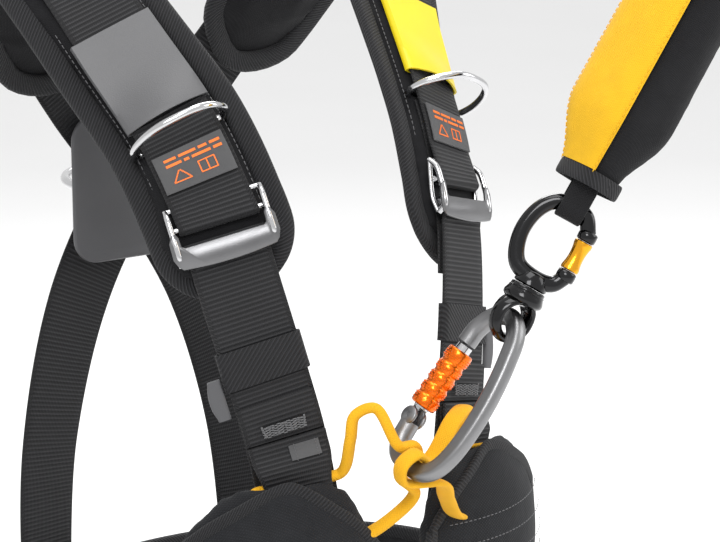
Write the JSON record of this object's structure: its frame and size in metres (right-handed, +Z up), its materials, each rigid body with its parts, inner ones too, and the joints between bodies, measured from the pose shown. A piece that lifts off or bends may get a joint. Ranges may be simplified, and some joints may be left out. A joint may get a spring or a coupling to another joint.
{
  "type": "full-body climbing harness",
  "caption": "Full-body climbing harness with padded shoulders, waist and legs, chest textile loops, carabiner, swivel and energy absorber.",
  "frame": {"origin": "On the wearer's spine line, level with the top of the shoulders, where the wearer's torso holds the harness.", "axes": "+Z up, the wearer faces -Y and the wearer's left is +X."},
  "size_m": [0.4361, 0.4271, 0.779],
  "materials": {
    "black_webbing": "woven polyester webbing",
    "padding": "padded mesh fabric with twill binding",
    "grey_fabric": "smooth coated fabric",
    "yellow_fabric": "smooth yellow fabric",
    "loop_tape": "woven high-strength tape",
    "polished_steel": "polished steel",
    "satin_steel": "satin steel",
    "forged_alloy": "satin anodised forged aluminium",
    "orange_alloy": "orange anodised aluminium",
    "black_alloy": "gloss black anodised aluminium",
    "gold_alloy": "gold anodised aluminium",
    "grey_plastic": "moulded rubbery plastic"
  },
  "bodies": {
    "harness": {"belt_buckle_bar": "satin_steel", "belt_buckle_frame": "satin_steel", "belt_webbing": "black_webbing", "chest_buckle_bar_left": "satin_steel", "chest_buckle_bar_right": "satin_steel", "chest_buckle_frame_left": "satin_steel", "chest_buckle_frame_right": "satin_steel", "chest_webbing_left": "black_webbing", "chest_webbing_right": "black_webbing", "dorsal_plate": "grey_plastic", "eye_tape_left": "black_webbing", "eye_tape_right": "black_webbing", "leg_buckle_left": "satin_steel", "leg_buckle_right": "satin_steel", "leg_pad_left": "padding", "leg_pad_right": "padding", "leg_riser_left": "black_webbing", "leg_riser_right": "black_webbing", "leg_webbing_left": "black_webbing", "leg_webbing_right": "black_webbing", "loop_pouch_left": "padding", "loop_pouch_right": "padding", "ring_tab_left": "grey_fabric", "ring_tab_right": "grey_fabric", "seat_strap_left": "black_webbing", "seat_strap_right": "black_webbing", "shoulder_pad_left": "padding", "shoulder_pad_right": "padding", "shoulder_webbing_left": "black_webbing", "shoulder_webbing_right": "black_webbing", "sternal_loop_left": "loop_tape", "sternal_loop_right": "loop_tape", "strap_tab_left": "grey_plastic", "strap_tab_right": "grey_plastic", "waist_pad": "padding", "web_sleeve_left": "yellow_fabric", "web_sleeve_right": "grey_fabric"},
    "parking_ring_left": {"parking_ring_left": "polished_steel"},
    "keeper_left": {"keeper_left": "black_webbing"},
    "side_ring_left": {"side_ring_left": "polished_steel"},
    "parking_ring_right": {"parking_ring_right": "polished_steel"},
    "keeper_right": {"keeper_right": "black_webbing"},
    "side_ring_right": {"side_ring_right": "polished_steel"},
    "ventral_ring": {"ventral_ring": "polished_steel"},
    "dorsal_ring": {"dorsal_ring": "polished_steel"},
    "carabiner": {"carabiner_body": "forged_alloy", "gate_pin": "polished_steel"},
    "gate": {"carabiner_gate": "polished_steel"},
    "locking_sleeve": {"locking_sleeve": "orange_alloy"},
    "swivel_base": {"swivel_base": "black_alloy"},
    "swivel_ring": {"swivel_ring": "black_alloy", "swivel_axle": "polished_steel", "ring_bolt": "polished_steel"},
    "gold_sleeve": {"gold_sleeve": "gold_alloy"},
    "absorber": {"absorber_cover": "black_webbing", "absorber_panel": "yellow_fabric", "tear_tape": "yellow_fabric", "absorber_lower_loop": "black_webbing", "absorber_upper_loop": "black_webbing"}
  },
  "joints": [
    {"name": "parking_ring_hinge_left", "type": "hinge", "parent": "harness", "child": "parking_ring_left", "pos_m": [0.08472, -0.06126, -0.12289], "axis": [-0.8716, -0.2919, 0.3938], "range_deg": [-30, 30]},
    {"name": "keeper_slide_left", "type": "slide", "parent": "harness", "child": "keeper_left", "axis": [-0.19, -0.224, -0.9559], "range_m": [-0.004, 0.0045]},
    {"name": "side_ring_hinge_left", "type": "hinge", "parent": "harness", "child": "side_ring_left", "pos_m": [0.1643, 0.0043, -0.45], "axis": [0, 0, 1], "range_deg": [-40, 40]},
    {"name": "parking_ring_hinge_right", "type": "hinge", "parent": "harness", "child": "parking_ring_right", "pos_m": [-0.08472, -0.06126, -0.12289], "axis": [0.8716, -0.2919, 0.3938], "range_deg": [-30, 30]},
    {"name": "keeper_slide_right", "type": "slide", "parent": "harness", "child": "keeper_right", "axis": [0.19, -0.224, -0.9559], "range_m": [-0.004, 0.0045]},
    {"name": "side_ring_hinge_right", "type": "hinge", "parent": "harness", "child": "side_ring_right", "pos_m": [-0.1643, 0.0043, -0.45], "axis": [0, 0, 1], "range_deg": [-40, 40]},
    {"name": "ventral_ring_hinge", "type": "hinge", "parent": "harness", "child": "ventral_ring", "pos_m": [0, -0.1244, -0.45], "axis": [0, 0, 1], "range_deg": [-40, 40]},
    {"name": "dorsal_ring_hinge", "type": "hinge", "parent": "harness", "child": "dorsal_ring", "pos_m": [0, 0.1254, -0.19], "axis": [1, 0, 0], "range_deg": [-35, 45]},
    {"name": "carabiner_swing", "type": "hinge", "parent": "harness", "child": "carabiner", "pos_m": [-0.01297, -0.17312, -0.29192], "axis": [-0.0528, -0.982, -0.1813], "range_deg": [0, 30]},
    {"name": "gate_hinge", "type": "hinge", "parent": "carabiner", "child": "gate", "pos_m": [0.00073, -0.15963, -0.27186], "axis": [-0.8029, -0.0662, 0.5924], "range_deg": [-20, 0], "stiffness_Nm_per_rad": 0.05, "springref_deg": 20.05},
    {"name": "locking_sleeve_turn", "type": "hinge", "parent": "gate", "child": "locking_sleeve", "pos_m": [0.01468, -0.16379, -0.25341], "axis": [0.5937, -0.1768, 0.785], "range_deg": [0, 90], "stiffness_Nm_per_rad": 0.01, "springref_deg": -17.19},
    {"name": "swivel_base_swing", "type": "hinge", "parent": "carabiner", "child": "swivel_base", "pos_m": [0.04408, -0.18911, -0.21638], "axis": [-0.0528, -0.982, -0.1813], "range_deg": [-10, 30]},
    {"name": "swivel_spin", "type": "hinge", "parent": "swivel_base", "child": "swivel_ring", "pos_m": [0.04408, -0.18911, -0.21638], "axis": [0.5185, -0.1047, 0.8486], "continuous": true},
    {"name": "gold_sleeve_turn", "type": "hinge", "parent": "swivel_ring", "child": "gold_sleeve", "pos_m": [0.0767, -0.20237, -0.18492], "axis": [0.5185, -0.1047, 0.8486], "continuous": true},
    {"name": "absorber_swing", "type": "hinge", "parent": "swivel_ring", "child": "absorber", "pos_m": [0.0796, -0.19628, -0.15825], "axis": [0.6492, -0.5977, -0.4704], "range_deg": [-30, 30]}
  ]
}
